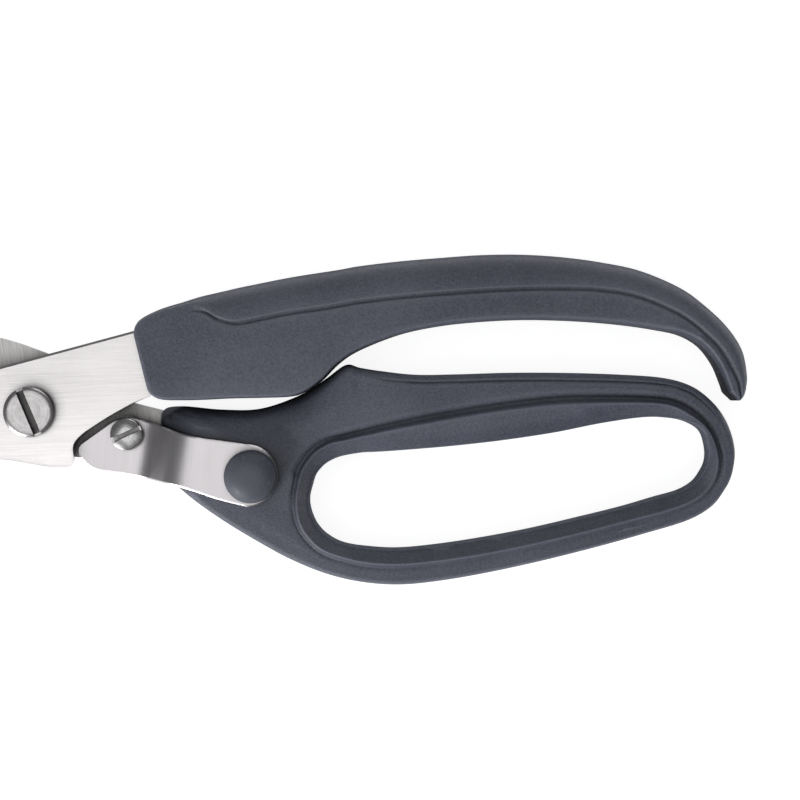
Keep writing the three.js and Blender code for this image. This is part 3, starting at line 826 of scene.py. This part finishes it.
def lower_handle():
    """A closed loft round the finger hole."""
    keys = catmull(LOWER_STATIONS, 9, closed=True)
    outer, groove, hole = keys[:, :2], keys[:, 2:4], keys[:, 4:6]
    tangent = np.roll(outer, -1, axis=0) - np.roll(outer, 1, axis=0)
    tangent /= np.linalg.norm(tangent, axis=1)[:, None]
    sections = []
    for p, g, q, t in zip(outer, groove, hole, tangent):
        face, bead = np.linalg.norm(g - p), np.linalg.norm(q - g)
        lean = abs(t[0] * (g - p)[1] - t[1] * (g - p)[0]) / face
        rim = LOW_EDGE_R + (TOP_EDGE_R - LOW_EDGE_R) * np.clip(0.5 + t[0], 0, 1)
        front, back = [], []
        on_nose = np.clip((CROWN_STRETCH[0] - p[0]) / CROWN_STRETCH[1], 0, 1)
        crown = (TOP_CROWN + NOSE_CROWN * on_nose) * np.clip(t[0] * 2, 0, 1)
        crown += LOW_CROWN * np.clip(-t[0] * 2, 0, 1)
        step = np.clip((p[0] - CREASE_STRETCH[0]) / CREASE_STRETCH[1], 0, 1)
        step *= np.clip((t[0] - 0.5) / 0.35, 0, 1)
        near = NEAR_WIDTH[0] + NEAR_WIDTH[1] * np.clip(t[0], 0, 1)
        cut = np.dot(BEAD_GROOVE_DEPTH, (1, *t))
        for u, h in lower_profile(face, bead, lean, rim, crown, step, near, cut):
            xy = p + (g - p) * u / face if u <= face else g + (q - g) * (u - face) / bead
            # The nose slopes down to the left under the ramp of the lever.
            nose = NOSE_START[1] + (xy[0] - NOSE_START[0]) * NOSE_SLOPE - MID_Z
            nose -= NOSE_ROUNDING * max(0.0, CORE_HALF - h) if u <= face else 0
            level = float(smooth_min(h, max(nose, NOSE_LEAST), NOSE_BLEND)) if h > 0 else h
            front.append((*xy, MID_Z + level))
            back.append((*xy, MID_Z - h))
        sections.append(front + back[:0:-1])
    return loft_mesh("lower_handle_visual", sections, closed=True)


finish_mesh("upper_handle_visual", upper_handle(), GRIP, "upper_half",
            ["upper_handle"], sharp=50)
finish_mesh("lower_handle_visual", lower_handle(), GRIP, "lower_half",
            ["lower_handle"], sharp=50)


# ---------------------------------------------------------------- blades

FRONT_EDGE = [(-9, 8.7), (-22, 5.7), (-40, 4.2), (-60, 5), (-80, 7.4), (-94, 9.7), (-101.6, 11.2)]
REAR_EDGE = [(-9, -5.4), (-22, -4.7), (-40, -3.2), (-60, -0.6), (-80, 3.9), (-94, 8.4), (-101.6, 11.2)]
BONE_NOTCH = (-17.0, 8.4, 4.6)
GRIND_WIDTH = 7.0
EDGE_THICKNESS = 0.25
CHAMFER = 0.5
# The chamfer is steeper on the upper edges. It changes between two places along Y.
CHAMFER_SLOPES = (0.2, 0.45)
CHAMFER_CHANGE_Y = (5.0, 8.0)
GROOVE = (4.6, 6.4)
GROOVE_DEPTH = 1.6
HEEL_RELIEF_R = 11.5
HEEL_TOOTH_R = 12.0
HEEL_RELIEF_TOP = 9.4
# Where the relief behind the heel starts, where the tooth does, and where both end, in degrees.
HEEL_START, TOOTH_START, HEEL_END = -95, -50.5, -38
WALL = 0.04


def notched(edge, notch):
    """The edge curve with the bone notch cut out of it."""
    curve = catmull(edge, 14)
    x, y, r = notch
    away = np.linalg.norm(curve - (x, y), axis=1)
    before = curve[(away > r) & (curve[:, 0] > x)]
    after = curve[(away > r) & (curve[:, 0] < x)]
    a = math.atan2(before[-1][1] - y, before[-1][0] - x)
    b = math.atan2(after[0][1] - y, after[0][0] - x)
    b -= 2 * math.pi if b > a else 0
    bend = [(x + r * math.cos(t), y + r * math.sin(t)) for t in np.linspace(a, b, 22)]
    return np.vstack([before, bend, after])


def tang(start, end, a, b):
    """Corners of the bar in the handle, half widths `a` and `b`, from its right side round."""
    start, end = np.array(start, dtype=float), np.array(end, dtype=float)
    along = (end - start) / np.linalg.norm(end - start)
    across = np.array([-along[1], along[0]])
    return [start - a * across, end - b * across, end + b * across, start + a * across]


def chamfer_lines(ring, width):
    """Short mesh lines along the inner side of a chamfer."""
    inner = offset_ring(ring, width)
    pairs = zip(np.roll(inner, 1, axis=0), inner)
    return [np.array(pair) for pair in pairs if np.linalg.norm(pair[1] - pair[0]) < 2.5]


def blade(name, ring, edge, grind_start, z, faces_up):
    """A blade ground on one face. The other face is flat, with the spring's groove in it.

    edge: curve of the cutting edge; grind_start: x where the grind begins; z: lower and upper
    face; faces_up: whether the ground face is the upper one.
    """
    ring = resample(ring, 1.2)
    low, high = z
    inner_face = low if faces_up else high
    sign = 1 if faces_up else -1
    path = catmull(edge, 14)
    path = path[path[:, 0] < grind_start]
    path = np.vstack([path, path[-1] + (path[-1] - path[-2]) * 3])
    side = np.diff(path, axis=0)
    normal = np.column_stack([side[:, 1], -side[:, 0]]) / np.linalg.norm(side, axis=1)[:, None]
    crest = path[:-1] + normal * GRIND_WIDTH * (-sign)
    crest = crest[inside(crest, ring)]
    thickness = abs(high - low)

    def outer(xy):
        depth = np.maximum(0, CHAMFER - distance_to(xy, ring, closed=True))
        depth = depth * np.interp(xy[:, 1], CHAMFER_CHANGE_Y, CHAMFER_SLOPES)
        level = thickness - depth
        ground = EDGE_THICKNESS + distance_to(xy, path) * (thickness - EDGE_THICKNESS) / GRIND_WIDTH
        on_blade = xy[:, 0] < grind_start + 0.01
        level = np.where(on_blade, np.minimum(level, ground), level)
        return inner_face + sign * level

    def inner(xy):
        radius = np.hypot(xy[:, 0], xy[:, 1])
        in_groove = (radius > GROOVE[0] + WALL / 2) & (radius < GROOVE[1] - WALL / 2)
        level = np.where(in_groove, GROOVE_DEPTH, 0.0)
        if faces_up:
            angle = np.degrees(np.arctan2(xy[:, 1], xy[:, 0]))
            limit = np.where(angle < TOOTH_START, HEEL_RELIEF_R, HEEL_TOOTH_R)
            heel = (radius > limit + WALL / 2) & (angle > HEEL_START) & (angle < HEEL_END)
            level = np.where(heel, HEEL_RELIEF_TOP - low, level)
        return inner_face + sign * level

    def arc_line(radius, start, end):
        angles = np.radians(np.linspace(start, end, max(12, int(abs(end - start) / 3))))
        return np.column_stack([radius * np.cos(angles), radius * np.sin(angles)])

    plunge = np.array([path[0], crest[0]])
    lines = [crest, plunge + (WALL, 0), plunge - (WALL, 0)]
    lines.extend(chamfer_lines(ring, CHAMFER))
    for radius in (GROOVE[0], GROOVE[0] + WALL, GROOVE[1] - WALL, GROOVE[1]):
        ring_line = circle((0, 0), radius, 120)
        lines.append(np.vstack([ring_line, ring_line[:1]]))
    if faces_up:
        for shift in (0, WALL):
            lines.append(arc_line(HEEL_RELIEF_R + shift, HEEL_START + 0.1, TOOTH_START - 0.1))
            lines.append(arc_line(HEEL_TOOTH_R + shift, TOOTH_START + 0.1, HEEL_END - 0.1))
    holes = [circle((0, 0), BORE_R, 64)]
    if faces_up:
        return plate_mesh(name, ring, holes, lines, outer, inner)
    holes.append(circle(LOCK, LOCK_BORE_R, 40))
    return plate_mesh(name, ring, holes, lines, inner, outer)


def front_blade():
    """The upper blade, with the bone notch, and the corner for the lever cut into its heel."""
    right, tip_low, tip_high, left = tang((22.2, 10.7), (61, 17.8), 4.4, 3.0)
    spine = [(-102.2, 10.4), (-95, 5.9), (-80, -0.6), (-60, -5.2), (-40, -7.9), (-20, -9.4),
             (-6, -10), (0, -10.9), (4.5, -11.6), (7.6, -11.6), (8.9, -11.2), (9.35, -10.2)]
    notch = [(9.1, -8.7), (9.05, -7.4), (9.5, -6.2), (10.8, -4.8), (12.7, -3.4), (16.6, -0.9),
             (21.6, 1.9)]
    parts = [
        np.array([(22.6, 17.21), (-8.9, 8.72)]),
        notched(FRONT_EDGE, BONE_NOTCH),
        catmull(spine, 10),
        catmull(notch, 8),
        np.array([(24.95, 3.3), (26.0, 4.6), (26.0, 6.4), right + (3.8, 0.6), tip_low, tip_high,
                  left + (2.4, 0.4), (23.4, 16.0)]),
    ]
    return blade("front_blade_visual", np.vstack(parts), FRONT_EDGE, -21.5, FRONT_BLADE, True)


def rear_blade():
    """The lower blade, whose wide tang carries the lever."""
    spine = [(-101.6, 11.9), (-94, 13.6), (-80, 15.9), (-60, 17.7), (-40, 18.3), (-22, 17.7),
             (-12, 16.6), (-6.3, 15.5), (0, 13.5), (6, 10.9), (13, 5.6), (18, 3.1), (21.8, 1.8),
             (28.3, 0.1)]
    heel = [(27, -12.2), (14, -10.3), (12.6, -9.8), (8, -9.4), (2, -7.9), (-4, -5.9), (-9, -5.4)]
    right, tip_low, tip_high, left = tang((27, -6.6), (50, -8.6), 4.4, 3.4)
    parts = [
        catmull(spine, 10),
        np.array([(28.6, -1.0), left + (1.6, 0), tip_high, tip_low, right + (2.2, 0), (29.4, -12.2)]),
        catmull(heel, 8),
        catmull(REAR_EDGE, 10)[1:],
    ]
    return blade("rear_blade_visual", np.vstack(parts), REAR_EDGE, -9.5, REAR_BLADE, False)


finish_mesh("front_blade_visual", front_blade(), FRONT_STEEL, "upper_half",
            ["front_blade"], sharp=12)
finish_mesh("rear_blade_visual", rear_blade(), REAR_STEEL, "lower_half",
            ["rear_blade"], sharp=12)


# ---------------------------------------------------------------- lock lever

RAMP = (5.4, 12.6)
FOOT_R = 8.0
HEAD_R = 9.0
LEVER_CHAMFER = 0.3
LEVER_CHAMFER_SLOPE = 0.6
LEVER_END_R = 6.5
# Mesh lines across the bends: from, to and how far apart along the lever.
BEND_LINES = (1.6, 17.2, 0.25)
BEND_LINE_HALF = 14


def lever_height(along):
    """Height of the lever's underside at a distance from the lock screw along the lever."""
    rise = LEVER_HIGH_Z - LEVER_LOW_Z
    slope = math.atan2(rise, RAMP[1] - RAMP[0])
    z = LEVER_LOW_Z + np.clip((along - RAMP[0]) / (RAMP[1] - RAMP[0]), 0, 1) * rise
    foot = RAMP[0] - FOOT_R * math.tan(slope / 2)
    head = RAMP[1] + HEAD_R * math.tan(slope / 2)
    in_foot = (along > foot) & (along < foot + FOOT_R * math.sin(slope))
    bend = LEVER_LOW_Z + FOOT_R - np.sqrt(np.maximum(0, FOOT_R**2 - (along - foot) ** 2))
    z = np.where(in_foot, bend, z)
    in_head = (along < head) & (along > head - HEAD_R * math.sin(slope))
    bend = LEVER_HIGH_Z - HEAD_R + np.sqrt(np.maximum(0, HEAD_R**2 - (head - along) ** 2))
    return np.where(in_head, bend, z)


def lock_lever():
    """A plate bent up over the handle, with a round end under the button."""
    end = np.array((45.8, -13.2))
    top = [(16.3, -2.5), (17.9, -1.6), (19.8, -1.2), (22, -1.5), (26, -2.4), (31.5, -4.3),
           (35.7, -5.3), (39.9, -5.9), (45.8, -6.7)]
    low = [(45.8, -19.7), (39.9, -18.2), (35.7, -16.8), (31.5, -15.5), (27.3, -14.6),
           (19.2, -13), (14.6, -12.4), (12.9, -11.9), (11.9, -11.2), (10.4, -9.6), (9.85, -8.7),
           (9.85, -7.6), (10.4, -6.7)]
    angles = np.radians(np.linspace(86, -86, 36))
    cap = end + LEVER_END_R * np.column_stack([np.cos(angles), np.sin(angles)])
    ring = resample(np.vstack([catmull(top, 10), cap, catmull(low, 8)]), 1.0)
    direction = np.array([math.cos(LEVER_AXIS), math.sin(LEVER_AXIS)])
    across = np.array([-direction[1], direction[0]])

    def along(xy):
        return (xy - LOCK) @ direction

    # The top of the sheet follows the underside at the sheet's thickness, square to it.
    samples = np.linspace(-16, 36, 2600)
    under = lever_height(samples)
    gradient = np.gradient(under, samples)
    length = np.hypot(1, gradient)
    top_x = samples - gradient / length * LEVER_THICKNESS
    top_z = under + LEVER_THICKNESS / length
    order = np.argsort(top_x)

    def upper(xy):
        depth = np.maximum(0, LEVER_CHAMFER - distance_to(xy, ring, closed=True))
        return np.interp(along(xy), top_x[order], top_z[order]) - LEVER_CHAMFER_SLOPE * depth

    def under_side(xy):
        return lever_height(along(xy))

    half = across * BEND_LINE_HALF
    middles = [np.array(LOCK) + direction * x for x in np.arange(*BEND_LINES)]
    lines = [np.array([middle - half, middle + half]) for middle in middles]
    lines.extend(chamfer_lines(ring, LEVER_CHAMFER))
    holes = [circle(LOCK, LOCK_BORE_R, 40), circle(BUTTON, STUD_BORE_R, 32)]
    return plate_mesh("lock_lever_visual", ring, holes, lines, upper, under_side)


finish_mesh("lock_lever_visual", lock_lever(), LEVER_STEEL, "lock",
            ["lock_lever"], sharp=20)


# ---------------------------------------------------------------- turned pieces

SLOT_DEPTH = 1.2
SLOT_BEVEL = 0.07


def screw(name, centre, head_r, head_z, chamfer, crown, shank_r, shank_end, slot_angle, slot_width):
    """A slotted screw. The head's top is crowned, its edge is chamfered and the rim rounded."""
    low, high = head_z
    flat_r = head_r - chamfer
    rim = 0.15
    bevel_drop = 0.45 * chamfer
    top = [(flat_r * f, high - crown * f**2) for f in np.linspace(0, 0.97, 14)]
    profile = [(0, shank_end), (shank_r - 0.3, shank_end), (shank_r, shank_end + 0.3)]
    profile += [(shank_r, low), (head_r - rim, low), (head_r, low + rim)]
    profile += arc((head_r - 0.2, high - crown - bevel_drop - 0.12), 0.2, 0, 62, 5)
    profile += [(flat_r + 0.35 * chamfer, high - crown - 0.25 * bevel_drop)]
    profile += top[::-1]
    mesh = lathe_mesh(name, centre, profile)
    cutter = slot_cutter(centre, slot_angle, high - SLOT_DEPTH, slot_width, 3 * head_r)
    return carve(mesh, cutter, SLOT_BEVEL)


finish_mesh(
    "pivot_screw_visual",
    screw("pivot_screw_visual", (0, 0), head_r=5.25, head_z=(10.7, 12.7), chamfer=0.85,
          crown=0.05, shank_r=3.2, shank_end=1.2, slot_angle=math.radians(-67), slot_width=1.55),
    PIVOT_STEEL, "lower_half", ["pivot_screw"], sharp=35)
finish_mesh(
    "lock_screw_visual",
    screw("lock_screw_visual", LOCK, head_r=3.35, head_z=(9.3, 11.1), chamfer=0.35,
          crown=0.6, shank_r=2.1, shank_end=3.8, slot_angle=math.radians(25), slot_width=1.05),
    LOCK_STEEL, "lower_half", ["lock_screw"], sharp=35)


def pivot_nut():
    """A closed barrel nut, its back edge rounded and its front edge chamfered."""
    outer, top, floor_z = 5.6, 2.7, 0.9
    profile = [(0, 0), (outer - 0.9, 0)]
    profile += arc((outer - 0.5, 0.5), 0.5, -90, 0, 6)
    profile += [(outer, top - 0.2), (outer - 0.2, top), (BORE_R, top), (BORE_R, floor_z), (0, floor_z)]
    return lathe_mesh("pivot_nut_visual", (0, 0), profile)


def lock_button():
    """A domed button with a blind hole for its stud."""
    base, radius, height = LEVER_HIGH_Z + LEVER_THICKNESS + 0.2, 5.5, 4.0
    side, socket = 1.0, 2.4
    profile = [(0, base + socket), (STUD_BORE_R, base + socket), (STUD_BORE_R, base)]
    profile += [(radius - 0.3, base), *arc((radius - 0.3, base + 0.3), 0.3, -90, 0, 5)]
    for t in np.linspace(0, 1, 26)[1:]:
        angle = t * math.pi / 2
        profile.append((radius * math.cos(angle) ** 0.75 if t < 1 else 0,
                        base + side + (height - side) * math.sin(angle)))
    return lathe_mesh("lock_button_visual", BUTTON, profile)


finish_mesh("pivot_nut_visual", pivot_nut(), PIVOT_STEEL, "lower_half",
            ["pivot_nut"], sharp=35)
finish_mesh("lock_button_visual", lock_button(), BUTTON_PLASTIC, "lock",
            ["lock_button"], sharp=35)

# The small hidden pieces keep their CAD shape.
for node, material in (
    ("pivot_washer", PIVOT_STEEL),
    ("lock_washer", WASHER_STEEL),
    ("button_stud", STUD_STEEL),
    ("opening_spring", WIRE_STEEL),
):
    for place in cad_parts[node].material_slots:
        place.material = material


# ---------------------------------------------------------------- floor, light and camera

FLOOR_GLOW = 0.87


def floor():
    """Pale paper that glows a little, so that it stays nearly white under the soft light."""
    size = 3.0
    mesh = bpy.data.meshes.new("floor")
    corners = [(-size, -size, 0), (size, -size, 0), (size, size, 0), (-size, size, 0)]
    mesh.from_pydata(corners, [], [(0, 1, 2, 3)])
    obj = add_object("floor", mesh)
    obj.location = (0.05, 0, cad_box[0][2] - 0.0001)
    n = Nodes("floor_paper")
    paper = n.noise(n.position, scale=60, detail=4)
    n.surface(n.colours(paper, [(0.3, (0.44, 0.44, 0.44)), (0.7, (0.48, 0.48, 0.48))]))
    n.shader.inputs["Roughness"].default_value = 0.9
    n.shader.inputs["Specular IOR Level"].default_value = 0.1
    n.shader.inputs["Emission Color"].default_value = (1, 1, 1, 1)
    n.shader.inputs["Emission Strength"].default_value = FLOOR_GLOW
    mesh.materials.append(n.material)


def area_light(name, place, target, size, power):
    """A soft white light at a place in metres, turned to a target."""
    data = bpy.data.lights.new(name, "AREA")
    data.shape = "RECTANGLE"
    data.size, data.size_y = size
    data.energy = power
    obj = add_object(name, data)
    obj.location = place
    direction = Vector(target) - Vector(place)
    obj.rotation_euler = direction.to_track_quat("-Z", "Y").to_euler()


floor()
area_light("overhead", (-0.02, -0.08, 0.95), (0.05, 0, 0), (1.0, 0.8), 2.75)
area_light("key", (-0.60, -0.80, 0.50), (0.06, 0, 0), (0.5, 0.4), 9.5)
area_light("fill", (0.30, 0.90, 0.50), (0.06, 0, 0), (0.5, 0.4), 1.3)

world = bpy.data.worlds.new("studio")
world.use_nodes = True
background = world.node_tree.nodes["Background"]
background.inputs["Color"].default_value = (0.95, 0.97, 1.0, 1)
background.inputs["Strength"].default_value = 0.12
bpy.context.scene.world = world
bpy.context.scene.view_settings.view_transform = "Standard"

# The camera looks straight down, and the frame is this wide at the subject's height.
CAMERA_X, CAMERA_Y, CAMERA_HEIGHT = 77.7, 2.5, 440.0
FRAME_WIDTH = 168.0
SUBJECT_Z = 10.0
SENSOR_WIDTH = 36
lens = bpy.data.cameras.new("camera")
lens.sensor_width = SENSOR_WIDTH
lens.lens = SENSOR_WIDTH * (CAMERA_HEIGHT - SUBJECT_Z) / FRAME_WIDTH
lens.clip_start = 0.01
camera = add_object("camera", lens)
camera.location = (CAMERA_X * MM, CAMERA_Y * MM, CAMERA_HEIGHT * MM)
bpy.context.scene.camera = camera
